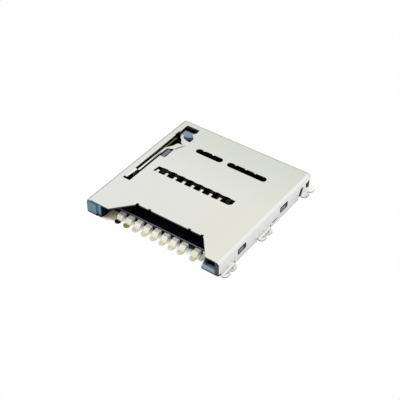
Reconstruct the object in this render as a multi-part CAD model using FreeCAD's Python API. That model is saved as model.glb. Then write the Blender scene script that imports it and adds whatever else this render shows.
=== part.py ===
import FreeCAD, Part
import math
import os
from FreeCAD import Vector

# A push-push socket for a micro memory card, in millimetres.
# While it is modelled, y = 0 is the card entry and y grows the way the card goes in,
# x = 0 is the middle of the cover, and z = 0 is the board it is soldered to.

# Card and slot
cardWidth = 11.0
cardSideGap = 0.12
slotHeight = 1.20
floorThickness = 0.65
housingFoot = 0.10
stroke = 3.6
stopGap = 0.10

# Housing walls, from the left wall to the right rail and back to the rear wall
sideWall = 0.27
channelWidth = 1.59
railWidth = 2.56
rearWall = 0.75
frontBlockDepth = 1.88
floorFront = 1.84
channelSkin = 0.15
lipDepth = 0.08

# Cover sheet
sheet = 0.15
bendRadius = 0.28
cornerRadius = 0.22
fitGap = 0.02
wallFoot = 0.04

# Contacts
contactPitch = 1.1
contactCount = 8
contactInset = 1.0
contactSheet = 0.15
tailWidth = 0.66
beamWidth = 0.5
rootHeight = 0.42
tailTip = 0.50
tailFoot = 0.60
tailRise = 0.24
beamStart = 7.0
contactPoint = 12.0
contactRise = 0.47

# Detect switch and ground plate
detectPitch = 1.5
terminalPitch = 0.7
terminalWidth = 0.4
bladeSheet = 0.12
bladeGap = 0.60
switchGap = 0.60
switchBar = 0.5
pocketFront = 9.9
groundWidth = 1.0
groundBack = 2.1

# Eject mechanism in the left channel
runGap = 0.05
pinRadius = 0.175
pinClearance = 0.065
camGap = 0.06
camDepth = 0.36
camWall = 0.265
pinSwing = 0.50
legDrop = 0.50
springRadius = 0.40
springWire = 0.14
springTurns = 8
catchY = 10.9
catchDepth = 0.88
pivotToRear = 1.85
seatToRear = 2.48

# Entry cut-out, comb window and rear slots in the cover
entryDepth = 2.2
entrySlope = 1.95
combFront = 7.32
combBack = 8.24
toothReach = 0.44
toothWidth = 0.29
toothFillet = 0.12
slotDepth = 0.74

# Pin leaf and flap
leafWidth = 0.23
leafDrop = 0.13
leafRoom = 0.14
flapWidth = 0.38
flapTilt = 15.0

# Solder tabs and latch windows in the side walls
lobeReach = 0.52
tabRelief = 0.16
frontTabY = 0.45
middleTabY = 6.7
tabLength = 2.1
tabOverhang = 0.42
windowLength = 1.4
windowHeight = 0.74
frontWindowY = 3.85
rearWindowToBack = 5.1

# Heights worked out from those above
floorTop = housingFoot + floorThickness
coverUnder = floorTop + slotHeight
coverTop = coverUnder + sheet
housingTop = coverUnder - fitGap
contactTop = rootHeight + contactSheet
channelFloor = housingFoot + channelSkin
pinHeight = coverUnder - leafDrop - runGap - pinRadius
sliderTop = pinHeight - pinRadius - pinClearance
sliderFoot = channelFloor + runGap
springAxis = sliderFoot + springRadius
seatTop = springAxis + springRadius + runGap
windowHigh = coverTop - 0.64

# Places across the width
slotWidth = cardWidth + 2 * cardSideGap
housingWidth = sideWall + channelWidth + slotWidth + railWidth
housingSide = housingWidth / 2
wallInside = housingSide + fitGap
halfWidth = wallInside + sheet
channelLeft = -housingSide + sideWall
slotLeft = channelLeft + channelWidth
slotRight = slotLeft + slotWidth
cardLeft = slotLeft + cardSideGap
cardRight = slotRight - cardSideGap
firstContact = cardLeft + contactInset
lastContact = firstContact + (contactCount - 1) * contactPitch
detectX = lastContact + detectPitch
terminalX = detectX + terminalPitch
bladeX = slotRight + bladeGap
fixedX = bladeX + switchGap
pinX = channelLeft + runGap + springRadius + 0.01
roofLeft = pinX + pinRadius + runGap
spineLeft = pinX + springRadius + runGap
spineRight = slotLeft - 0.31
coverEdge = pinX + 0.65

# Places along the depth
sliderFront = frontBlockDepth + 0.22
camRadius = pinRadius + camGap
tipY = sliderFront + camWall + camRadius + stroke
pocketEnd = tipY + 1.0
sliderRear = catchY + catchDepth
rearFace = sliderRear + stroke + stopGap
housingBack = rearFace + rearWall
coverDepth = housingBack + fitGap + sheet
pivotY = rearFace - pivotToRear
springSeat = rearFace - seatToRear
flapFront = tipY - 1.2
flapBack = tipY + 0.4
leafFront = flapBack + 0.08
leafRoot = springSeat - 1.9


def outline(corners, place):
    # A closed wire through corners given as (u, v, radius); place turns u, v into a point.
    starts, middles, ends = [], [], []
    count = len(corners)
    for index, (u, v, radius) in enumerate(corners):
        here = Vector(u, v, 0)
        back = Vector(corners[index - 1][0], corners[index - 1][1], 0) - here
        ahead = Vector(corners[(index + 1) % count][0], corners[(index + 1) % count][1], 0) - here
        back.normalize()
        ahead.normalize()
        half = back.getAngle(ahead) / 2
        reach = radius / math.tan(half) if radius else 0
        starts.append(here + back * reach)
        ends.append(here + ahead * reach)
        middle = None
        if radius:
            inward = (back + ahead).normalize()
            middle = here + inward * (radius / math.sin(half) - radius)
        middles.append(middle)
    edges = []
    for index in range(count):
        start, middle, end = starts[index], middles[index], ends[index]
        if middle is not None:
            arc = Part.Arc(place(start.x, start.y), place(middle.x, middle.y), place(end.x, end.y))
            edges.append(arc.toShape())
        following = starts[(index + 1) % count]
        if (following - end).Length > 1e-6:
            line = Part.LineSegment(place(end.x, end.y), place(following.x, following.y))
            edges.append(line.toShape())
    return Part.Wire(edges)


def flat(corners, low, high):
    # A plate: corners are (x, y, radius) and it reaches from z = low to z = high.
    face = Part.Face(outline(corners, lambda u, v: Vector(u, v, low)))
    return face.extrude(Vector(0, 0, high - low))


def sideways(corners, left, right):
    # A bar along x: corners are (y, z, radius).
    face = Part.Face(outline(corners, lambda u, v: Vector(left, u, v)))
    return face.extrude(Vector(right - left, 0, 0))


def lengthways(corners, front, back):
    # A bar along y: corners are (x, z, radius).
    face = Part.Face(outline(corners, lambda u, v: Vector(u, front, v)))
    return face.extrude(Vector(0, back - front, 0))


def block(left, right, front, back, low, high):
    return Part.makeBox(right - left, back - front, high - low, Vector(left, front, low))


def strip(path, thickness):
    # Corners of a bent strip whose middle line follows path, given as (u, v, radius).
    half = thickness / 2
    leftSide, rightSide = [], []
    for index, (u, v, radius) in enumerate(path):
        normals = []
        if index > 0:
            step = Vector(u - path[index - 1][0], v - path[index - 1][1], 0).normalize()
            normals.append(Vector(-step.y, step.x, 0))
        if index < len(path) - 1:
            step = Vector(path[index + 1][0] - u, path[index + 1][1] - v, 0).normalize()
            normals.append(Vector(-step.y, step.x, 0))
        turn = 0
        shift = normals[0]
        if len(normals) == 2:
            turn = normals[0].cross(normals[1]).z
            shift = (normals[0] + normals[1]) * (1 / (1 + normals[0].dot(normals[1])))
        leftRadius, rightRadius = 0, 0
        if radius:
            inner, outer = max(radius - half, 0), radius + half
            leftRadius, rightRadius = (inner, outer) if turn > 0 else (outer, inner)
        leftSide.append((u + shift.x * half, v + shift.y * half, leftRadius))
        rightSide.append((u - shift.x * half, v - shift.y * half, rightRadius))
    return leftSide + rightSide[::-1]


def mirrored(shape):
    # The same shape on the other side of the socket.
    return shape.mirror(Vector(0, 0, 0), Vector(1, 0, 0))


def fused(shapes):
    whole = shapes[0]
    if len(shapes) > 1:
        whole = whole.multiFuse(shapes[1:])
    return whole.removeSplitter()


def through(corners):
    # A cutter through the cover's top sheet.
    return flat(corners, coverUnder - bendRadius, coverTop + sheet)


def coverForm(inset):
    # The folded form without its openings, smaller all round by the inset.
    side = halfWidth - inset
    back = coverDepth - inset
    top = coverTop - inset
    below = coverTop
    form = block(-side, side, -below, back, -below, top)
    middle = (top - below) / 2
    uprights = [edge for edge in form.Edges
                if abs(edge.CenterOfMass.y - back) < 1e-6 and abs(edge.CenterOfMass.z - middle) < 1e-6]
    form = form.makeFillet(cornerRadius - inset, uprights)
    rims = [edge for edge in form.Edges
            if abs(edge.CenterOfMass.z - top) < 1e-6 and edge.CenterOfMass.y > sheet - below]
    return form.makeFillet(bendRadius - inset, rims)


def entryCut():
    # The trapezoid in the front edge that leaves the solder tails in view.
    innerLeft = firstContact + 1.5
    innerRight = detectX + 0.51
    outerLeft = firstContact - 0.46
    outerRight = innerRight + 1.64
    cut = through(((outerLeft - 3.2, -3.0, 0), (outerLeft, -0.03, 0.25),
                   (innerLeft - 0.1, entryDepth - 0.1, 0), (innerLeft + 0.06, entryDepth, 0),
                   (innerRight - 0.26, entryDepth, 0),
                   (innerRight, entrySlope, 0), (outerRight, -0.05, 0), (outerRight + 2.0, -3.0, 0)))
    ears = []
    for x in (innerLeft + 0.02, firstContact + 3.02, detectX - 1.35, innerRight - 0.36):
        ears.append(block(x - 0.16, x + 0.16, entryDepth - 0.2, entryDepth + 0.15,
                          coverUnder - sheet, coverTop + sheet))
    return fused([cut] + ears)


def combCut():
    # A window whose front edge has one narrow tooth beside each contact.
    left = firstContact - 0.53
    right = detectX - 0.10
    window = through(((left, combFront, 0), (right - 0.3, combFront, 0), (right, combFront + 0.28, 0),
                      (right, combBack, 0.1), (left + 0.08, combBack, 0.15)))
    tip, end = toothWidth / 2, combFront + toothReach
    root = tip + toothFillet + 0.01
    teeth, bays = [], []
    for index in range(contactCount):
        x = firstContact - 0.09 + index * contactPitch
        bay = x + contactPitch / 2
        teeth.append(through(((x - root, combFront - 0.1, 0), (x - root, combFront, 0),
                              (x - tip, combFront, toothFillet), (x - tip, end, 0.08),
                              (x + tip, end, 0.08), (x + tip, combFront, toothFillet),
                              (x + root, combFront, 0), (x + root, combFront - 0.1, 0))))
        bays.append(through(((bay - 0.34, combBack - 0.1, 0), (bay - 0.34, combBack, 0),
                             (bay - 0.2, combBack + 0.06, 0), (bay + 0.2, combBack + 0.06, 0),
                             (bay + 0.34, combBack, 0), (bay + 0.34, combBack - 0.1, 0))))
    return fused([window] + bays).cut(teeth)


def rearSlotCuts():
    # Two long slots behind the contact points, with blunt teeth on their back edges.
    front = contactPoint + 0.3
    back = front + slotDepth
    end = slotDepth / 2 - 0.01
    sizes = ((firstContact + 1.1, firstContact + 4.4, (0.8, 1.95)),
             (firstContact + 5.05, detectX + 0.6, (0.85, 2.1, 3.2)))
    cuts = []
    for left, right, teeth in sizes:
        slot = through(((left, front, end), (right, front, end), (right, back, end), (left, back, end)))
        for along in teeth:
            x = left + along
            slot = slot.cut(through(((x - 0.16, back + 0.1, 0), (x - 0.09, back - 0.12, 0),
                                     (x + 0.09, back - 0.12, 0), (x + 0.16, back + 0.1, 0))))
        cuts.append(slot)
    return cuts


def mechanismCut():
    # One opening over the eject mechanism. Its right edge is shaped into the wedge
    # that carries the pin leaf and into the hooked finger over the pin's pivot.
    hinge = pinX - 0.12
    left = pinX + 0.02
    right = coverEdge
    window = right + 0.77
    rear = rearFace + 0.14
    seat = springSeat
    return through(((hinge, flapFront - 0.35, 0), (right + leafRoom, flapFront - 0.35, 0),
                    (right + leafRoom, leafRoot - 1.4, 0),
                    (window, leafRoot - 1.38, 0.1), (window - 0.05, leafRoot + 0.33, 0),
                    (right, leafRoot, 0), (right - leafWidth, leafRoot, 0), (right + 0.21, seat - 1.23, 0.2),
                    (right + 0.43, seat - 0.56, 0), (right + 1.0, seat - 0.48, 0),
                    (right + 0.58, seat - 0.24, 0.2), (right + 0.37, seat + 0.18, 0.25),
                    (right - 0.02, seat + 0.48, 0.2), (right - 0.13, seat + 0.94, 0.07),
                    (right + 0.07, seat + 0.98, 0.05), (right + 0.21, seat + 0.66, 0.15),
                    (right + 0.5, seat + 0.46, 0.2), (right + 1.0, seat + 0.34, 0),
                    (right + 1.35, seat + 0.3, 0.1), (right + 1.35, seat + 1.0, 0.3),
                    (right + 0.77, seat + 1.6, 0.2), (right + 1.03, seat + 2.0, 0),
                    (right + 0.99, rear, 0.12), (left - 0.02, rear, 0.12),
                    (left, seat + 1.3, 0), (left - 0.14, seat + 1.24, 0.1),
                    (left - 0.15, seat + 0.62, 0.12), (left - 0.04, seat + 0.4, 0),
                    (left - 0.02, flapBack, 0), (hinge, flapBack, 0)))


def tiltedSheet(corners, pivot, axis, angle):
    # A piece of the top sheet bent down about a line.
    piece = flat(corners, coverUnder, coverTop)
    piece.rotate(pivot, axis, angle)
    return piece


def pinLeaf():
    # The narrow leaf that keeps the cam pin down in its groove.
    left = coverEdge - leafWidth
    angle = math.degrees(math.asin(leafDrop / (leafRoot - leafFront)))
    corners = ((left - 0.18, leafFront, 0), (left - 0.18 + leafWidth, leafFront, 0),
               (coverEdge, leafRoot + 0.06, 0), (left, leafRoot + 0.06, 0))
    return tiltedSheet(corners, Vector(0, leafRoot, coverUnder), Vector(1, 0, 0), angle)


def pinFlap():
    # The short flap folded down over the pin's tip.
    hinge = pinX - 0.12
    corners = ((hinge - 0.01, flapFront, 0), (hinge + flapWidth - 0.12, flapFront, 0),
               (hinge + flapWidth, flapBack, 0), (hinge - 0.01, flapBack, 0))
    return tiltedSheet(corners, Vector(hinge, 0, coverTop), Vector(0, 1, 0), flapTilt)


def solderTab(start, length, foldEnd):
    # One two-lobed tab at the foot of the right wall, folded out onto the board.
    middle = halfWidth - sheet / 2
    tip = halfWidth + lobeReach
    section = strip(((middle, 3 * sheet, 0), (middle, sheet / 2, 0.2), (tip, sheet / 2, 0)), sheet)
    foot = block(wallInside + 0.1, tip, start, start + length, 0, sheet)
    bar = lengthways(section, start, foldEnd).fuse(foot)
    lobe = length / 2
    lobes = []
    for near in (start, start + lobe):
        far = near + lobe
        lobes.append(flat(((wallInside - 0.1, near, 0), (tip, near, lobe / 2.6),
                           (tip, far, lobe / 2.6), (wallInside - 0.1, far, 0)), -sheet, 4 * sheet))
    return bar.common(fused(lobes))


def tabSizes():
    # Start, length and end of the fold for each tab; the last runs out past the corner.
    return ((frontTabY, tabLength, frontTabY + tabLength), (middleTabY, tabLength, middleTabY + tabLength),
            (coverDepth + tabOverhang - tabLength, tabLength, coverDepth - cornerRadius))


def latchPlaces():
    return (frontWindowY, coverDepth - rearWindowToBack)


def sideCuts():
    # What is stamped out of the right wall.
    left, right = wallInside - 0.3, halfWidth + 0.3
    low = windowHigh - windowHeight
    cuts = []
    for middle in latchPlaces():
        near, far = middle - windowLength / 2, middle + windowLength / 2
        cuts.append(sideways(((near, low, 0.1), (far, low, 0.1), (far, windowHigh, 0.1),
                              (near, windowHigh, 0.1)), left, right))
    for start, _, foldEnd in tabSizes()[:2]:
        for edge in (start - tabRelief, foldEnd):
            cuts.append(block(left, right, edge, edge + tabRelief, -0.1, 0.46))
    cuts.append(block(left, right, -0.1, frontTabY, -0.1, 0.62))
    slot = coverDepth - 1.7
    cuts.append(sideways(((slot - 0.56, -0.1, 0), (slot, -0.1, 0), (slot + 0.04, 0.5, 0),
                          (slot + 0.3, windowHigh - 0.32, 0), (slot + 0.16, windowHigh - 0.14, 0),
                          (slot - 0.26, windowHigh - 0.22, 0), (slot - 0.6, 0.42, 0)), left, right))
    cuts.append(sideways(((slot + 0.88, 0.66, 0), (slot + 1.44, 0.5, 0), (slot + 1.5, windowHigh - 0.06, 0),
                          (slot + 0.72, windowHigh - 0.2, 0)), left, right))
    step = middleTabY + tabLength + 0.45
    cuts.append(block(left, right, step, step + 0.9, 0.42, 0.56))
    return cuts


def cover():
    shell = coverForm(0).cut(coverForm(sheet))
    shell = shell.common(block(-halfWidth - 1, halfWidth + 1, 0, coverDepth + 1, wallFoot, coverTop + 1))
    corner = block(-halfWidth - 1, -wallInside + 0.001, -1, 0.4, -1, coverTop - bendRadius - 0.02)
    side = sideCuts()
    openings = [entryCut(), combCut(), mechanismCut()] + rearSlotCuts()
    shell = shell.cut(side + [mirrored(cut) for cut in side] + openings + [corner])
    feet = [solderTab(*sizes) for sizes in tabSizes()]
    feet += [mirrored(foot) for foot in feet]
    return fused([shell, pinLeaf(), pinFlap()] + feet)


def contactProfile(end):
    # Side view of a tail and its straight run in the floor, as (y, z, radius).
    foot = contactSheet / 2
    run = rootHeight + contactSheet / 2
    heel = tailTip + tailFoot
    return [(tailTip, foot, 0), (heel, foot, 0.13), (heel + tailRise, run, 0.13), (end, run, 0)]


def tail(x, end):
    # Gull-wing tail with a rounded toe and a straight run to y = end.
    half = tailWidth / 2
    bar = sideways(strip(contactProfile(end), contactSheet), x - half, x + half)
    toe = half - 0.01
    plan = flat(((x - half, tailTip, toe), (x + half, tailTip, toe),
                 (x + half, end, 0), (x - half, end, 0)), -contactSheet, floorTop)
    return bar.common(plan)


def contact(x):
    # A tail, its run in the floor and a sprung beam with a rounded contact point.
    run = rootHeight + contactSheet / 2
    crown = floorTop + contactRise
    half = beamWidth / 2
    path = ((beamStart - 0.2, run, 0), (beamStart + 0.4, run, 0.6), (contactPoint, crown, 0.3),
            (contactPoint + 0.45, crown - 0.27, 0))
    beam = sideways(strip(path, contactSheet), x - half, x + half)
    return fused([tail(x, beamStart), beam])


def detectSpring():
    # Moving half of the card detect switch: its bump stands in the card's way.
    lugY = pocketFront + 0.1
    run = tail(detectX, lugY + switchBar)
    lug = block(detectX, bladeX + bladeSheet / 2, lugY, lugY + switchBar, rootHeight, contactTop)
    path = ((bladeX, lugY, 0), (bladeX, lugY + 2.4, 0.4), (cardRight - 0.1, lugY + 3.5, 0.3),
            (bladeX - 0.1, lugY + 4.3, 0.3), (bladeX - 0.1, lugY + 4.7, 0))
    blade = flat(strip(path, bladeSheet), rootHeight, coverUnder - 0.4)
    free = block(cardRight - 1, fixedX, lugY + switchBar, lugY + 5, 0, floorTop + 0.1)
    return fused([run, lug, blade.cut(free)])


def detectTerminal():
    # Fixed half of the switch, with its flat solder pad beside the last tail.
    lugY = pocketFront - 0.9
    bladeY = pocketFront + 2.7
    edge = fixedX + bladeSheet / 2
    left, right = terminalX - terminalWidth / 2, terminalX + terminalWidth / 2
    pad = block(left - 0.06, right, tailTip + 0.52, floorFront - 0.1, 0, contactSheet)
    foot = block(left, right, floorFront - 0.2, floorFront + contactSheet, 0, contactSheet)
    riser = block(left, right, floorFront, floorFront + contactSheet, 0, contactTop)
    run = block(left, right, floorFront, lugY + switchBar, rootHeight, contactTop)
    lug = block(terminalX, edge, lugY, lugY + switchBar, rootHeight, contactTop)
    back = block(fixedX - switchBar / 2, edge, lugY, bladeY + 0.6, rootHeight, contactTop)
    blade = block(fixedX - bladeSheet / 2, edge, bladeY, bladeY + 2.0, rootHeight, coverUnder - 0.4)
    free = block(fixedX - 1, fixedX + 1, bladeY + 0.6, bladeY + 3, 0, floorTop + 0.1)
    return fused([pad, foot, riser, run, lug, back, blade.cut(free)])


def groundTerminal():
    # Flat fixing plate to the left of the first tail, with a barb up into the floor.
    right = firstContact - tailWidth / 2 - 0.12
    left = right - groundWidth
    pad = flat(((left, 0.4, 0.12), (right, 0.66, 0.15), (right, groundBack, 0), (left, groundBack, 0)),
               0, contactSheet)
    barb = block(slotLeft + 0.05, right, groundBack - contactSheet, groundBack, 0, contactTop)
    return fused([pad, barb])


def camPath():
    # The loop that the pin's tip runs round: in on the right, home on the left,
    # with the notch that holds the slider in between.
    inner = tipY - stroke
    return ((pinX, tipY), (pinX + pinSwing, inner), (pinX + pinSwing * 0.55, inner + 0.5),
            (pinX + 0.02, inner + 0.05), (pinX - 0.04, inner + 1.0))


def camGroove(low, high):
    # A constant-width groove along the loop.
    points = [Vector(x, y, low) for x, y in camPath()]
    cutters = []
    for index, start in enumerate(points):
        end = points[(index + 1) % len(points)]
        along = (end - start).normalize()
        aside = Vector(-along.y, along.x, 0) * camRadius
        corners = [start + aside, end + aside, end - aside, start - aside, start + aside]
        cutters.append(Part.Face(Part.makePolygon(corners)).extrude(Vector(0, 0, high - low)))
        cutters.append(Part.makeCylinder(camRadius, high - low, start))
    return fused(cutters)


def slider():
    # Runs back with the card: heart-shaped groove in front, a roofed spine beside the
    # spring, and the catch that the card's leading edge pushes on.
    left = channelLeft + runGap
    right = slotLeft - runGap
    head = flat(((left, sliderFront, 0.15), (right, sliderFront, 0.1), (right, pocketEnd + 0.3, 0.2),
                 (left, pocketEnd + 0.3, 0)), sliderFoot, sliderTop)
    head = head.cut(block(left - 1, spineLeft, pocketEnd, pocketEnd + 1, 0, coverTop))
    spine = block(spineLeft, spineRight, pocketEnd - 0.6, sliderRear, sliderFoot, sliderTop)
    roof = flat(((roofLeft, pocketEnd - 0.6, 0), (spineRight, pocketEnd - 0.6, 0),
                 (spineRight, sliderRear, 0), (roofLeft, sliderRear, 0.1)), seatTop + runGap, sliderTop)
    catchRight = firstContact - beamWidth / 2 - 0.15
    catch = flat(((spineRight - 0.1, catchY, 0), (catchRight, catchY, 0.1), (catchRight, sliderRear, 0.1),
                  (spineRight - 0.1, sliderRear, 0)), floorTop + runGap, sliderTop - 0.1)
    return fused([head, spine, roof, catch]).cut(camGroove(sliderTop - camDepth, coverTop))


def camPin():
    # Steel wire with both ends turned down: the rear end pivots, the front end rides the groove.
    bend = pinRadius + 0.075
    low = pinHeight - bend
    tip = pinHeight - legDrop
    pieces = [Part.makeCylinder(pinRadius, pivotY - tipY - 2 * bend,
                                Vector(pinX, tipY + bend, pinHeight), Vector(0, 1, 0))]
    for y, inward, foot in ((tipY, 1, tip), (pivotY, -1, tip - 0.35)):
        pieces.append(Part.makeCylinder(pinRadius, low - foot, Vector(pinX, y, foot)))
        section = Part.Face(Part.Wire([Part.makeCircle(pinRadius, Vector(pinX, y, low), Vector(0, 0, 1))]))
        centre = Vector(pinX, y + inward * bend, low)
        pieces.append(section.revolve(centre, Vector(-inward, 0, 0), 90))
    return fused(pieces)


def ejectSpring():
    # Coil between the slider's head and its seat, lofted through sections of a six-sided wire.
    half = springWire / 2
    length = springSeat - pocketEnd - 2 * fitGap - springWire
    radius = springRadius - half
    perTurn = 10
    sections = []
    for step in range(springTurns * perTurn + 1):
        angle = 2 * math.pi * step / perTurn
        along = pocketEnd + fitGap + half + length * step / (springTurns * perTurn)
        corners = []
        for side in range(7):
            turn = math.pi * side / 3
            reach = radius + half * math.cos(turn)
            corners.append(Vector(pinX + reach * math.cos(angle), along + half * math.sin(turn),
                                  springAxis + reach * math.sin(angle)))
        sections.append(Part.makePolygon(corners))
    return Part.makeLoft(sections, True, True)


def frontBlocks():
    # The two corners that show at the card entry, a little proud of the cover's edge: the left
    # one shuts the channel, the right one is hollowed beside the rail and laps the cover's wall.
    foot = housingFoot + 0.02
    brow = coverTop - bendRadius - 0.02
    corner = -halfWidth + 1.55
    face = -halfWidth + 1.13
    under = sideways(((-1, foot - 0.5, 0), (0.42, foot - 0.5, 0), (0.3, foot, 0), (0, 0.34, 0),
                      (-lipDepth, 0.62, 0), (-1, 0.62, 0)), -halfWidth - 1, halfWidth + 1)
    left = block(-housingSide, face, 0, frontBlockDepth, foot, housingTop)
    inner = block(face, corner, 0.15, frontBlockDepth, foot, housingTop)
    skin = lengthways(((-halfWidth, foot + 0.3, 0), (-halfWidth + 0.2, foot, 0), (face, foot, 0),
                       (face, brow, 0), (-halfWidth, brow, 0)), -lipDepth, 0.38)
    edge = terminalX + terminalWidth / 2 + 0.74
    right = lengthways(((edge, 0.62, 0), (edge + 0.12, foot, 0), (housingSide, foot, 0),
                        (housingSide, housingTop, 0), (edge + 0.46, housingTop, 0)),
                       -lipDepth, frontBlockDepth + 0.3)
    lip = lengthways(((housingSide - 0.1, foot, 0), (halfWidth - 0.15, foot, 0), (halfWidth, foot + 0.3, 0),
                      (halfWidth, brow, 0), (housingSide - 0.1, brow, 0)), -lipDepth, -fitGap)
    recess = block(housingSide - 1.32, housingSide - 0.24, -1, 1.3, 1.14, housingTop + 1)
    return [left.cut(under), inner.cut(under), right.cut([recess, under])], [skin.cut(under), lip.cut(under)]


def latches():
    # Wedge noses that snap into the cover's side windows.
    low = windowHigh - windowHeight + 0.04
    tip = halfWidth - 0.05
    noses = []
    for middle in latchPlaces():
        nose = lengthways(((housingSide - 0.1, low, 0), (tip, low + 0.04, 0), (tip, windowHigh - 0.3, 0),
                           (housingSide - 0.1, windowHigh - 0.06, 0)),
                          middle - windowLength / 2 + 0.26, middle + windowLength / 2 - 0.34)
        noses.append(nose)
    return noses + [mirrored(nose) for nose in noses]


def springTower():
    # Seat for the spring, post beside the pin's pivot and the bridge that the spine slides under.
    front = pivotY + 0.45
    back = front + 1.05
    bridgeTop = coverUnder - 2 * runGap
    seat = block(channelLeft, spineLeft - runGap, springSeat, back, channelFloor, seatTop)
    post = block(channelLeft, pinX + pinRadius, front, back, channelFloor, bridgeTop)
    bridge = flat(((channelLeft, front, 0), (slotLeft - 0.1, front, 0), (slotLeft + 0.5, front + 0.45, 0),
                   (slotLeft + 0.5, back, 0), (channelLeft, back, 0)), sliderTop + 2 * runGap, bridgeTop)
    hole = Part.makeCylinder(pinRadius + 0.03, legDrop + 0.6,
                             Vector(pinX, pivotY, pinHeight - legDrop - 0.45))
    return [seat.cut(hole), post, bridge]


def contactGrooves():
    # Grooves for the runs and open slots under the sprung beams.
    half = tailWidth / 2
    slot = beamWidth / 2 + 0.1
    cuts = []
    for index in range(contactCount):
        x = firstContact + index * contactPitch
        cuts.append(block(x - half, x + half, 0, beamStart, 0, contactTop))
        cuts.append(block(x - slot, x + slot, beamStart - 0.3, contactPoint + 0.9, 0, coverTop))
    return cuts


def switchGrooves():
    # Grooves and the pocket for the switch's two strips, and the slot for the ground plate.
    half = tailWidth / 2
    wide = terminalWidth / 2
    edge = bladeSheet / 2
    movingY = pocketFront + 0.1
    fixedY = pocketFront - 0.9
    bladeY = pocketFront + 2.7
    plate = firstContact - half - 0.12
    return [block(detectX - half, detectX + half, 0, movingY + switchBar, 0, contactTop),
            block(detectX, bladeX + edge, movingY, movingY + switchBar, 0, contactTop),
            block(bladeX - edge, bladeX + edge, movingY, movingY + switchBar, 0, coverTop),
            block(terminalX - wide, terminalX + wide, 0, fixedY + switchBar, 0, contactTop),
            block(terminalX, fixedX + edge, fixedY, fixedY + switchBar, 0, contactTop),
            block(fixedX - switchBar / 2, fixedX + edge, fixedY, bladeY + 0.6, 0, contactTop),
            block(fixedX - edge, fixedX + edge, bladeY, bladeY + 0.6, 0, coverTop),
            block(bladeX - 0.25, fixedX + 0.4, pocketFront, pocketFront + 5.1, floorTop, coverTop),
            block(slotRight - 1, bladeX, pocketFront + 2.5, pocketFront + 4.5, floorTop, coverTop),
            block(plate - groundWidth, plate, 0, groundBack, 0, contactSheet),
            block(slotLeft + 0.05, plate, groundBack - contactSheet, groundBack, 0, contactTop)]


def housing():
    # Moulded tray: floor, side walls, card rail, rear wall and the spring's seat.
    floor = block(-housingSide, housingSide, floorFront, housingBack, housingFoot, floorTop)
    leftWall = block(-housingSide, channelLeft, 0.4, housingBack, housingFoot, housingTop)
    rail = block(slotRight, housingSide, frontBlockDepth, housingBack, housingFoot, housingTop)
    rear = block(-housingSide, housingSide, rearFace, housingBack, housingFoot, housingTop)
    blocks, skins = frontBlocks()
    tray = fused([floor, leftWall, rail, rear] + blocks).common(coverForm(sheet + fitGap))
    channel = block(channelLeft, slotLeft, frontBlockDepth, rearFace, channelFloor, coverTop)
    lip = sideways(((floorFront - 1, floorTop - 0.07, 0), (floorFront, floorTop - 0.07, 0),
                    (floorFront + 0.07, floorTop, 0), (floorFront + 0.07, floorTop + 1, 0),
                    (floorFront - 1, floorTop + 1, 0)), slotLeft, slotRight)
    tray = fused([tray.cut([channel, lip])] + skins + springTower() + latches())
    return tray.cut(contactGrooves() + switchGrooves()).removeSplitter()


def write(node, shape):
    # The finished frame has its origin on the board under the middle of the socket,
    # between the front corners and the tips of the rear tabs.
    placed = shape.copy()
    placed.translate(Vector(0, -(coverDepth + tabOverhang - lipDepth) / 2, 0))
    placed.exportStep("parts/" + node + ".step")
    print(node, len(placed.Solids), "solids", round(placed.Volume, 4), "mm3", placed.isValid())


os.makedirs("parts", exist_ok=True)
write("cover", cover())
write("housing", housing())
for number in range(contactCount):
    write("contact_" + str(number + 1), contact(firstContact + number * contactPitch))
write("detect_switch_spring", detectSpring())
write("detect_switch_terminal", detectTerminal())
write("ground_terminal", groundTerminal())
write("slider", slider())
write("cam_pin", camPin())
write("eject_spring", ejectSpring())
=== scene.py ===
import math

import bpy
from mathutils import Matrix, Vector


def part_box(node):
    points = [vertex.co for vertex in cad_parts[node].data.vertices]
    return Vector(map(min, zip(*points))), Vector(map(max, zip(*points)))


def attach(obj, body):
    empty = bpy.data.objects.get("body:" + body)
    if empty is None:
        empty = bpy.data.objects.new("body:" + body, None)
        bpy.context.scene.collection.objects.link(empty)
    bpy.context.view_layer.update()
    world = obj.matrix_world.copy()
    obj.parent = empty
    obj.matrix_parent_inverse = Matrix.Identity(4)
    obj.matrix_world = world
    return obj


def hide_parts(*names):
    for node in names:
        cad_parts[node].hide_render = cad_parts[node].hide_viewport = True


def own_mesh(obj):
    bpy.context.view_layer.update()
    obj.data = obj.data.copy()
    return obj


mm = 0.001
bumpDepth = 0.00001  # metres

# Every piece has its own dictionary beside the code that uses it. Colours are linear, lengths and
# places on the socket are in millimetres, and a noise's scale is per metre. An "Edges" dictionary
# says where a tone starts or ends: a place along x, y or z, and the width of the ramp there.


class Wire:
    # A shader socket with arithmetic.
    def __init__(self, paint, socket):
        self.paint = paint
        self.socket = socket

    def math(self, operation, *others, clamp=False):
        values = dict(enumerate((self, *others)))
        return self.paint.node("Math", values, operation=operation, use_clamp=clamp)

    def __add__(self, other):
        return self.math("ADD", other)

    def __radd__(self, other):
        return self.math("ADD", other)

    def __sub__(self, other):
        return self.math("SUBTRACT", other)

    def __rsub__(self, other):
        return self.math("MULTIPLY", -1) + other

    def __mul__(self, other):
        return self.math("MULTIPLY", other)

    def __rmul__(self, other):
        return self.math("MULTIPLY", other)

    def __abs__(self):
        return self.math("ABSOLUTE")

    def clamp(self):
        return self.math("ADD", 0, clamp=True)

    def above(self, edge, softness):
        # 0 below the edge and 1 above it, with a short ramp between.
        return ((self - edge) * (1 / softness)).clamp()

    def below(self, edge, softness):
        return ((edge - self) * (1 / softness)).clamp()


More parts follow.
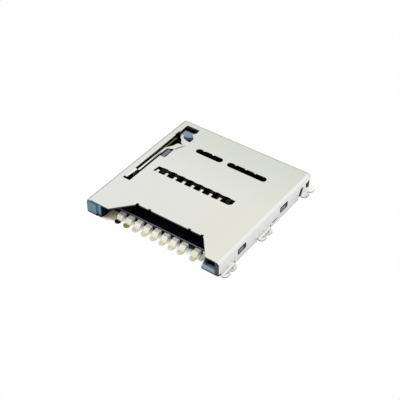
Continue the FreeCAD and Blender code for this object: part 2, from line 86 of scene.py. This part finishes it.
class Paint:
    # A material or a world, and the few ways in which this scene builds one.
    def __init__(self, owner, output="OutputMaterial"):
        self.owner = owner
        owner.use_nodes = True
        self.tree = owner.node_tree
        self.tree.nodes.clear()
        self.output = self.tree.nodes.new("ShaderNode" + output)

    def join(self, value, socket):
        if isinstance(value, Wire):
            self.tree.links.new(value.socket, socket)
        else:
            socket.default_value = value

    def node(self, kind, inputs, output=0, **settings):
        node = self.tree.nodes.new("ShaderNode" + kind)
        for key, value in settings.items():
            setattr(node, key, value)
        for key, value in inputs.items():
            self.join(value, node.inputs[key])
        return Wire(self, node.outputs[output])

    def coords(self):
        return self.node("TexCoord", {}, "Object")

    def axes(self):
        # The place on the piece as three wires, in millimetres.
        split = self.node("SeparateXYZ", {0: self.coords()}).socket.node
        return [Wire(self, socket) * (1 / mm) for socket in split.outputs]

    def noise(self, scale, detail=3.0, roughness=0.5):
        place = self.node("Mapping", {"Vector": self.coords(), "Scale": scale})
        return self.node("TexNoise", {"Vector": place, "Scale": 1.0, "Detail": detail,
                                      "Roughness": roughness}, "Fac")

    def ray(self, kind):
        return self.node("LightPath", {}, kind)

    def mix(self, factor, first, second):
        # Inputs 6 and 7 and output 2 are the Mix node's colours.
        first, second = [value if isinstance(value, Wire) else (*value, 1.0)
                         for value in (first, second)]
        return self.node("Mix", {0: factor, 6: first, 7: second}, 2, data_type="RGBA")

    def bump(self, height, strength):
        return self.node("Bump", {"Height": height, "Strength": strength, "Distance": bumpDepth})

    def finish(self, shader):
        self.join(shader, self.output.inputs["Surface"])
        return self.owner

    def surface(self, **inputs):
        named = {key.replace("_", " "): value for key, value in inputs.items()}
        return self.finish(self.node("BsdfPrincipled", named))


coverLook = {
    "cool": (0.80, 0.805, 0.77), "warm": (0.81, 0.81, 0.71), "rear": (0.70, 0.73, 0.65),
    "bent": (0.93, 0.93, 0.92), "sheared": (0.16, 0.16, 0.16), "crease": (0.26, 0.25, 0.19),
    "wall": (0.87, 0.88, 0.87), "rightFold": (0.90, 0.90, 0.87), "stretched": (0.0, 0.0, 0.02),
    "tab": (0.99, 0.97, 0.92), "tabRim": (0.34, 0.34, 0.32), "cutEdge": (0.10, 0.10, 0.10),
    "warmMiddle": 0.4, "warmSlope": 0.06, "clouding": 0.5, "foldShade": 0.37,
    "grainScale": (9000, 260, 9000), "cloudScale": (180, 180, 180),
    "pitScale": (24000, 24000, 24000), "grainShare": 0.6, "bump": 0.06,
    "roughness": 0.34, "grainRough": 0.10, "cloudRough": 0.08, "edgeEase": 0.014, "smooth": 32}
coverEdges = {
    "topSheet": (1.7, 0.05), "rear": (0.0, 8.0), "rearInside": (7.5, 0.05),
    "underFace": (2.082, 0.02), "leafLeft": (-7.3, 0.05), "leafRight": (-6.3, 0.05),
    "shearLeft": (-6.68, 0.04), "shearRight": (-6.35, 0.02),
    "shearFront": (-1.95, 0.05), "shearBack": (2.4, 0.1),
    "creaseSide": (0.12, 0.05), "creaseStart": (0.25, 0.2), "creaseEnd": (1.65, 0.4),
    "face": (2.082, 0.005), "wall": (7.8, 0.1), "rightFold": (7.7, 0.1), "rightFoldFoot": (1.75, 0.1),
    "tab": (8.02, 0.03), "tabRim": (0.12, 0.02), "leftFold": (-7.66, 0.1), "rearFold": (7.70, 0.1),
    "foldFoot": (1.6, 0.1), "cutTop": (2.082, 0.004), "cutSide": (7.6, 0.05),
    "mechanismRight": (-4.6, 0.1), "mechanismFront": (-4.2, 0.1)}
creaseLine = {"way": (0.4275, 0.904), "offset": 6.46}  # its direction, and its distance from the middle


def coverSteel():
    # Satin sheet: rolling grain along the socket, faint pickling marks and warmer to the right, with
    # painted shade to the rear and round the left and rear folds.
    look, edge = coverLook, coverEdges
    paint = Paint(bpy.data.materials.new("coverSteelLook"))
    x, y, z = paint.axes()
    grain = paint.noise(look["grainScale"], detail=4.0, roughness=0.6)
    clouds = paint.noise(look["cloudScale"], detail=2.0)
    pits = paint.noise(look["pitScale"], detail=2.0)
    onTop = z.above(*edge["topSheet"])
    warmth = x * look["warmSlope"] + look["warmMiddle"] + (clouds - 0.5) * look["clouding"]
    colour = paint.mix(warmth.clamp(), look["cool"], look["warm"])
    # Painted shade: the top grows darker towards the rear.
    colour = paint.mix(y.above(*edge["rear"]) * onTop, colour, look["rear"])

    # The pin's leaf and flap, bent below the sheet, with a painted highlight.
    bent = z.below(*edge["underFace"]) * x.below(*edge["leafRight"]) * x.above(*edge["leafLeft"])
    colour = paint.mix(bent * onTop * y.below(*edge["rearInside"]), colour, look["bent"])
    # A painted shade strip along the leaf's right edge stands in for the dark gap beside it.
    sheared = bent * x.above(*edge["shearLeft"]) * x.below(*edge["shearRight"])
    sheared = sheared * y.above(*edge["shearFront"]) * y.below(*edge["shearBack"])
    colour = paint.mix(sheared, colour, look["sheared"])
    # A painted shade line along the crease where the leaf's finger leaves the sheet.
    wayX, wayY = creaseLine["way"]
    across = x * wayY - y * wayX + creaseLine["offset"]
    along = x * wayX + y * wayY
    crease = abs(across).below(*edge["creaseSide"]) * z.above(*edge["face"])
    crease = crease * along.above(*edge["creaseStart"]) * along.below(*edge["creaseEnd"])
    colour = paint.mix(crease, colour, look["crease"])

    # Painted light and shade on the right wall and its fold, the solder tabs, and the left and rear
    # folds.
    rightFold = x.above(*edge["rightFold"]) * z.above(*edge["rightFoldFoot"])
    tabs = abs(x).above(*edge["tab"])
    # Painted light: the right wall is lighter than the top.
    colour = paint.mix(x.above(*edge["wall"]), colour, look["wall"])
    # Painted highlight along the right fold.
    colour = paint.mix(rightFold, colour, look["rightFold"])
    # Painted highlight on the solder tabs.
    colour = paint.mix(tabs, colour, look["tab"])
    # Painted shade on the tabs' lower edges.
    colour = paint.mix(tabs * z.below(*edge["tabRim"]), colour, look["tabRim"])
    # Painted shade round the left and rear folds.
    shadedFolds = (x.below(*edge["leftFold"]) + y.above(*edge["rearFold"])).clamp()
    shadedFolds = shadedFolds * look["foldShade"] * z.above(*edge["foldFoot"])
    colour = paint.mix(shadedFolds, colour, look["stretched"])

    # Painted shade on the cut walls of the openings and the sheet's underside, but not on those over
    # the eject mechanism.
    cutShade = z.below(*edge["cutTop"]) * abs(x).below(*edge["cutSide"]) * y.below(*edge["rearInside"])
    cutShade = cutShade * (x.above(*edge["mechanismRight"]) + y.below(*edge["mechanismFront"])).clamp()
    colour = paint.mix(cutShade * onTop, colour, look["cutEdge"])
    rough = look["roughness"] + (grain - 0.5) * look["grainRough"] + (clouds - 0.5) * look["cloudRough"]
    height = grain * look["grainShare"] + pits * (1 - look["grainShare"])
    return paint.surface(Base_Color=colour, Metallic=1.0, Roughness=rough,
                         Normal=paint.bump(height, look["bump"]))


plasticLook = {
    "colour": (0.004, 0.005, 0.009), "flowDark": 0.7, "rim": (0.08, 0.20, 0.26),
    "innerRim": (0.12, 0.28, 0.39), "rightRim": (0.26, 0.36, 0.46), "latch": (0.16, 0.20, 0.22),
    "lip": (0.13, 0.15, 0.20), "deck": (0.27, 0.34, 0.46), "rib": (0.46, 0.50, 0.62),
    "footLight": 0.12, "hollowShade": 0.85, "deckFlow": 0.25,
    "sparkScale": (16000, 16000, 16000), "flowScale": (500, 150, 500), "bump": 0.25,
    "roughness": 0.26, "sparkRough": 0.16, "flowRough": 0.06,
    "specular": 0.15, "coat": 0.8, "coatRoughness": 0.16, "edgeEase": 0.02, "smooth": 32}
plasticEdges = {
    "front": (-8.07, 0.15), "frontFoot": (0.55, 0.12), "middle": (0.0, 0.1), "innerRim": (-6.9, 0.02),
    "hollowRoof": (1.05, 0.3), "hollowSide": (7.45, 0.2),
    "bridgeFoot": (1.45, 0.1), "bridgeLeft": (-6.95, 0.1), "bridgeRight": (-4.6, 0.1),
    "bridgeFront": (5.6, 0.1), "bridgeBack": (6.7, 0.1),
    "ribFoot": (1.2, 0.05), "ribTop": (1.42, 0.02), "ribLeft": (-7.0, 0.06), "ribRight": (-6.35, 0.06),
    "ribFront": (1.5, 0.1), "ribBack": (3.8, 0.1), "ribPale": (-6.5, 0.08),
    "latch": (7.9, 0.05), "latchFront": (-7.37, 0.1),
    "lipFoot": (0.66, 0.02), "lipTop": (0.77, 0.01), "lipLeft": (-5.8, 0.1), "lipRight": (5.6, 0.1),
    "lipFront": (-7.9, 0.05), "lipBack": (-6.44, 0.03)}


def blackPlastic():
    # Glass-filled moulding: fine spark texture, slow mottling, black inside. The entry faces, the
    # latch bumps and the deck under the pin have a glossier coat and painted blue-grey reflections.
    look, edge = plasticLook, plasticEdges
    paint = Paint(bpy.data.materials.new("blackPlasticLook"))
    x, y, z = paint.axes()
    spark = paint.noise(look["sparkScale"], roughness=0.65)
    flow = paint.noise(look["flowScale"])
    right = x.above(*edge["middle"])
    foot = look["footLight"] + z.above(*edge["frontFoot"]) * (1 - look["footLight"])
    hollow = right * (z.above(*edge["hollowRoof"]) + x.above(*edge["hollowSide"])).clamp()
    # Painted reflection on the front faces, with painted shade low on them and in the right block's
    # hollows.
    rim = y.below(*edge["front"]) * foot * (1 - hollow * look["hollowShade"])
    bridge = z.above(*edge["bridgeFoot"]) * x.above(*edge["bridgeLeft"]) * x.below(*edge["bridgeRight"])
    bridge = bridge * y.above(*edge["bridgeFront"]) * y.below(*edge["bridgeBack"])
    rib = z.above(*edge["ribFoot"]) * z.below(*edge["ribTop"]) * x.above(*edge["ribLeft"])
    rib = rib * x.below(*edge["ribRight"]) * y.above(*edge["ribFront"]) * y.below(*edge["ribBack"])
    deck = (bridge + rib).clamp()
    latch = abs(x).above(*edge["latch"]) * y.above(*edge["latchFront"])
    lip = z.above(*edge["lipFoot"]) * z.below(*edge["lipTop"]) * y.above(*edge["lipFront"])
    lip = lip * y.below(*edge["lipBack"]) * x.above(*edge["lipLeft"]) * x.below(*edge["lipRight"])

    dark = [value * look["flowDark"] for value in look["colour"]]
    # Painted reflections, lighter by the left block's inner step and on the right block.
    leftRimReflection = paint.mix(x.above(*edge["innerRim"]), look["rim"], look["innerRim"])
    colour = paint.mix(rim, paint.mix(flow, look["colour"], dark),
                       paint.mix(right, leftRimReflection, look["rightRim"]))
    # Painted reflection on the latch bumps.
    colour = paint.mix(latch, colour, look["latch"])
    # Painted highlight along the tray floor's front lip.
    colour = paint.mix(lip, colour, look["lip"])
    # Painted reflection on the deck under the pin, uneven with the mottling.
    uneven = 1 - look["deckFlow"] + flow * look["deckFlow"]
    colour = paint.mix(deck * uneven, colour, look["deck"])
    # Painted highlight on the rib, on its left part.
    colour = paint.mix(rib * x.below(*edge["ribPale"]), colour, look["rib"])
    skin = (rim + deck + latch).clamp()
    rough = look["roughness"] + (spark - 0.5) * look["sparkRough"] + (flow - 0.5) * look["flowRough"]
    return paint.surface(Base_Color=colour, Metallic=0.0, Roughness=rough,
                         Specular_IOR_Level=look["specular"], Coat_Weight=skin * look["coat"],
                         Coat_Roughness=look["coatRoughness"], Normal=paint.bump(spark, look["bump"]))


contactLook = {
    "colour": (0.98, 0.96, 0.84), "bloomShare": 0.08, "bloomDark": 0.9, "foot": (0.95, 0.92, 0.69),
    "contact_1": (0.015, 0.01, 0.01), "contact_2": (0.36, 0.34, 0.12),  # painted dark reflections on the toes of the first two
    "plate": (1.0, 0.93, 0.68), "strip": (0.12, 0.10, 0.06),
    "lineScale": (14000, 500, 14000), "bloomScale": (2200, 2200, 2200), "bump": 0.15,
    "metallic": 0.15, "roughness": 0.30, "lineRough": 0.12, "bloomRough": 0.08,
    "edgeEase": 0.012, "smooth": 32}
contactEdges = {
    "plated": (-6.15, 0.2), "foot": (0.24, 0.08), "toe": (0.21, 0.04), "toeBack": (-7.4, 0.1),
    "plate": (-5.25, 0.02), "margin": 0.1, "side": 0.05}


def goldPlate():
    # Thin pale gold on the tails and the plate, yellower on the feet, painted dark reflections on the
    # first two toes, painted shade on the beams inside, drawn lines along the contact, small plating
    # blooms.
    look, edge = contactLook, contactEdges
    paint = Paint(bpy.data.materials.new("goldPlateLook"))
    x, y, z = paint.axes()
    lines = paint.noise(look["lineScale"])
    bloom = paint.noise(look["bloomScale"], detail=2.0)
    pale = [value * look["bloomDark"] + look["bloomShare"] for value in look["colour"]]
    # Painted shade darkens the beams inside the socket, behind the tails.
    plated = y.below(*edge["plated"])
    colour = paint.mix(plated, look["strip"], paint.mix(bloom, look["colour"], pale))
    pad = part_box("detect_switch_terminal")[0].x / mm
    feet = z.below(*edge["foot"]) * plated * x.below(pad, edge["side"])
    colour = paint.mix(feet, colour, look["foot"])
    # Painted dark reflections on the toes of the first two contacts.
    for node in ("contact_1", "contact_2"):
        low, high = [corner.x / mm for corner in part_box(node)]
        own = x.above(low - edge["margin"], edge["side"]) * x.below(high + edge["margin"], edge["side"])
        toe = own * z.below(*edge["toe"]) * y.below(*edge["toeBack"])
        colour = paint.mix(toe, colour, look[node])
    colour = paint.mix(x.below(*edge["plate"]), colour, look["plate"])
    rough = look["roughness"] + (lines - 0.5) * look["lineRough"] + (bloom - 0.5) * look["bloomRough"]
    return paint.surface(Base_Color=colour, Metallic=look["metallic"], Roughness=rough,
                         Normal=paint.bump(lines, look["bump"]))


pinLook = {
    "colour": (0.16, 0.14, 0.04), "patchDark": 0.85, "rubbed": (0.75, 0.66, 0.62),
    "lineScale": (20000, 300, 20000), "patchScale": (1500, 1500, 1500), "bump": 0.15,
    "roughness": 0.25, "lineRough": 0.14, "edgeEase": 0.03, "smooth": 40}
pinEdges = {"rubFront": (5.12, 0.15), "rubFoot": (1.5, 0.1)}


def springSteel():
    # Drawn wire: long fine die lines, dark olive painted shade, patchy, and a painted highlight at the
    # pivot.
    look, edge = pinLook, pinEdges
    paint = Paint(bpy.data.materials.new("springSteelLook"))
    y, z = paint.axes()[1:]
    lines = paint.noise(look["lineScale"])
    patches = paint.noise(look["patchScale"], detail=2.0)
    # The wire's dark olive colour is painted shade, darker still in patches.
    dull = [value * look["patchDark"] for value in look["colour"]]
    # Painted highlight at the pivot end of the pin.
    rubbed = y.above(*edge["rubFront"]) * z.above(*edge["rubFoot"])
    colour = paint.mix(rubbed, paint.mix(patches, look["colour"], dull), look["rubbed"])
    rough = look["roughness"] + (lines - 0.5) * look["lineRough"]
    return paint.surface(Base_Color=colour, Metallic=1.0, Roughness=rough,
                         Normal=paint.bump(lines, look["bump"]))


def selectOnly(piece):
    bpy.ops.object.select_all(action="DESELECT")
    piece.select_set(True)
    bpy.context.view_layer.objects.active = piece


def addPiece(name, data):
    piece = bpy.data.objects.new(name, data)
    bpy.context.scene.collection.objects.link(piece)
    return piece


def wear(piece, material):
    piece.data.materials.clear()
    piece.data.materials.append(material)


def dress(piece, material, body, node):
    # Puts the piece in the node's place, on its body and with its finish.
    wear(piece, material)
    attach(piece, body)
    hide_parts(node)


# Angles are in degrees: facets flatter than the first are one face, edges past the second are eased.
easing = {"merge": 2e-4, "flat": 0.6, "sharp": 38, "segments": 2, "weight": 100}


def easedCopy(node, name, look):
    # A copy of a CAD solid with its sharp edges broken, as tumbling or moulding leaves them.
    # It is worked on in millimetres, where the mesh tools' tolerances suit so small a piece.
    piece = addPiece(name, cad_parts[node].data.copy())
    piece.data.transform(Matrix.Scale(1 / mm, 4))
    selectOnly(piece)
    bpy.ops.object.mode_set(mode="EDIT")
    bpy.ops.mesh.select_all(action="SELECT")
    bpy.ops.mesh.customdata_custom_splitnormals_clear()
    bpy.ops.mesh.remove_doubles(threshold=easing["merge"])
    bpy.ops.mesh.dissolve_limited(angle_limit=math.radians(easing["flat"]))
    bpy.ops.object.mode_set(mode="OBJECT")
    bevel = piece.modifiers.new("ease", "BEVEL")
    bevel.width = look["edgeEase"]
    bevel.segments = easing["segments"]
    bevel.limit_method = "ANGLE"
    bevel.angle_limit = math.radians(easing["sharp"])
    bevel.use_clamp_overlap = True
    bevel.miter_outer = "MITER_ARC"
    bpy.ops.object.modifier_apply(modifier="ease")
    piece.modifiers.new("facets", "TRIANGULATE")
    bpy.ops.object.modifier_apply(modifier="facets")
    bpy.ops.object.shade_smooth_by_angle(angle=math.radians(look["smooth"]))
    level = piece.modifiers.new("level", "WEIGHTED_NORMAL")
    level.keep_sharp = True
    level.weight = easing["weight"]
    bpy.ops.object.modifier_apply(modifier="level")
    piece.data.transform(Matrix.Scale(mm, 4))
    return piece


# The coil's place: x and z of its axis, and its ends' distances behind the cover's front edge.
springLook = {"wire": 0.14, "radius": 0.40, "turns": 8, "front": 7.22, "back": 12.98,
              "x": -7.10, "z": 0.70, "steps": 28, "closing": 0.06, "roundness": 4, "smooth": 50}


def springCoil():
    # Round wire coil with its end turns closed, between the slider's head and its seat.
    look = springLook
    half = look["wire"] / 2
    radius = look["radius"] - half
    count = look["turns"] * look["steps"]
    start = look["front"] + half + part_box("cover")[0].y / mm
    length = look["back"] - look["front"] - look["wire"]
    path = bpy.data.curves.new("ejectCoil", "CURVE")
    path.dimensions = "3D"
    path.bevel_depth = half * mm
    path.bevel_resolution = look["roundness"]
    path.use_fill_caps = True
    spline = path.splines.new("POLY")
    spline.points.add(count)
    for step in range(count + 1):
        angle = 2 * math.pi * step / look["steps"]
        along = step / count - math.sin(2 * math.pi * step / count) * look["closing"]
        spline.points[step].co = ((look["x"] + radius * math.cos(angle)) * mm,
                                  (start + along * length) * mm,
                                  (look["z"] + radius * math.sin(angle)) * mm, 1)
    selectOnly(addPiece("ejectCoil", path))
    bpy.ops.object.convert(target="MESH")
    bpy.ops.object.shade_smooth_by_angle(angle=math.radians(look["smooth"]))
    return bpy.context.view_layer.objects.active


floorLook = {"colour": (0.90, 0.90, 0.90), "clothDark": 0.98, "clothScale": (60, 60, 60),
             "glow": 0.97, "mirrored": 0.82, "foot": 0.75, "size": 1600, "drop": 0.02}
floorEdges = {
    "underFront": (-7.45, 1.0), "plateRight": (-5.6, 0.3), "plateFront": (-8.1, 0.4),
    "underSide": (7.9, 0.5), "underBack": (8.0, 0.4),
    "besideSide": (9.1, 1.1), "besideFront": (-9.3, 0.9), "besideBack": (9.1, 1.1)}


def floorPaint():
    # Pale floor. What the camera and mirrors see is lifted towards white, so the shadow stays faint,
    # but not under the socket, where openings would show it lit, and less in mirrors by its walls,
    # which paints a shadow there.
    look, edge = floorLook, floorEdges
    paint = Paint(bpy.data.materials.new("floorPaint"))
    x, y = paint.axes()[:2]
    dark = [value * look["clothDark"] for value in look["colour"]]
    colour = paint.mix(paint.noise(look["clothScale"]), look["colour"], dark)
    matte = paint.node("BsdfDiffuse", {"Color": colour})
    glow = paint.node("Emission", {"Strength": 1.0})
    plate = x.below(*edge["plateRight"]) * y.above(*edge["plateFront"])
    under = (y.above(*edge["underFront"]) + plate).clamp()
    under = under * abs(x).below(*edge["underSide"]) * y.below(*edge["underBack"])
    wallShadowInMirrors = abs(x).below(*edge["besideSide"]) * y.above(*edge["besideFront"])
    wallShadowInMirrors = wallShadowInMirrors * y.below(*edge["besideBack"])
    seen = paint.ray("Is Camera Ray") + paint.ray("Is Transmission Ray")
    # Painted shadow: mirrors see the floor darker by the socket's walls.
    mirrored = paint.ray("Is Glossy Ray") * look["mirrored"] * (1 - wallShadowInMirrors * look["foot"])
    lift = (seen * look["glow"] + mirrored).clamp() * (1 - under)
    return paint.finish(paint.node("MixShader", {0: lift, 1: matte, 2: glow}))


def addFloor():
    look = floorLook
    bpy.ops.mesh.primitive_plane_add(size=look["size"] * mm, location=(0, 0, -look["drop"] * mm))
    floor = bpy.context.view_layer.objects.active
    floor.name = "paleFloor"
    bpy.ops.object.transform_apply(location=True, rotation=True, scale=True)
    wear(floor, floorPaint())


# Lamps are in millimetres and watts.
lightLook = {"world": 0.62, "mirrored": 0.96,
             "keyLamp": {"place": (65, 85, 85), "size": 150, "power": 0.035},
             "fillLamp": {"place": (-70, -90, 80), "size": 60, "power": 0.048}}


def addWorld():
    # The dome shows white to the camera and to mirrors, and lights the rest at a plain level.
    paint = Paint(bpy.data.worlds.new("dome"), "OutputWorld")
    seen = paint.ray("Is Camera Ray") + paint.ray("Is Glossy Ray") + paint.ray("Is Transmission Ray")
    lift = lightLook["mirrored"] - lightLook["world"]
    strength = lightLook["world"] + seen.clamp() * lift
    sky = paint.node("Background", {"Color": (1.0, 1.0, 1.0, 1.0), "Strength": strength})
    bpy.context.scene.world = paint.finish(sky)


def addLamp(name):
    # A soft disk that lights the object and isn't seen in its mirrors.
    look = lightLook[name]
    data = bpy.data.lights.new(name, "AREA")
    data.shape = "DISK"
    data.size = look["size"] * mm
    data.energy = look["power"]
    lamp = addPiece(name, data)
    lamp.location = Vector(look["place"]) * mm
    lamp.rotation_euler = (-lamp.location).to_track_quat("-Z", "Y").to_euler()
    lamp.visible_glossy = False


cameraLook = {"azimuth": 35.815, "elevation": 40.427, "distance": 105.198, "lens": 92.69,
              "sensor": 36.0, "target": (-0.167, -0.053, 0.0), "near": 5, "far": 10000}


def addCamera():
    look = cameraLook
    azimuth, elevation = math.radians(look["azimuth"]), math.radians(look["elevation"])
    away = Vector((math.sin(azimuth) * math.cos(elevation), -math.cos(azimuth) * math.cos(elevation),
                   math.sin(elevation)))
    data = bpy.data.cameras.new("camera")
    data.lens = look["lens"]
    data.sensor_width = look["sensor"]
    data.clip_start, data.clip_end = look["near"] * mm, look["far"] * mm
    camera = addPiece("camera", data)
    camera.location = (Vector(look["target"]) + away * look["distance"]) * mm
    camera.rotation_euler = (-away).to_track_quat("-Z", "Y").to_euler()
    bpy.context.scene.camera = camera


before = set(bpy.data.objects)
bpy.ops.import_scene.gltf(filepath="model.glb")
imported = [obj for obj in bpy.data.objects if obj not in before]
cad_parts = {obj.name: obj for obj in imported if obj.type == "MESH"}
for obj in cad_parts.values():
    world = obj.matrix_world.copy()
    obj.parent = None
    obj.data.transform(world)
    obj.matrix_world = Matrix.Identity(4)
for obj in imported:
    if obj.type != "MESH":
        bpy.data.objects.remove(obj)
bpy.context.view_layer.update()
print("frame loaded")

steel, plastic, gold, spring = coverSteel(), blackPlastic(), goldPlate(), springSteel()
print("materials built")

dress(easedCopy("cover", "coverSheet", coverLook), steel, "socket", "cover")
print("cover dressed")

for node, name, body in (("housing", "mouldedTray", "socket"), ("slider", "mouldedSlider", "slider")):
    dress(easedCopy(node, name, plasticLook), plastic, body, node)
print("mouldings dressed")

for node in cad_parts:
    if node.startswith("contact") or node.startswith("detect") or node == "ground_terminal":
        dress(easedCopy(node, node + "_plated", contactLook), gold, "socket", node)
print("contacts dressed")

dress(easedCopy("cam_pin", "camPinWire", pinLook), spring, "cam_pin", "cam_pin")
coil = springCoil()
dress(coil, spring, "socket", "eject_spring")
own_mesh(coil)
print("pin and spring dressed")

bpy.context.scene.view_settings.view_transform = "Standard"
addFloor()
addWorld()
addLamp("keyLamp")
addLamp("fillLamp")
addCamera()
print("stage set")
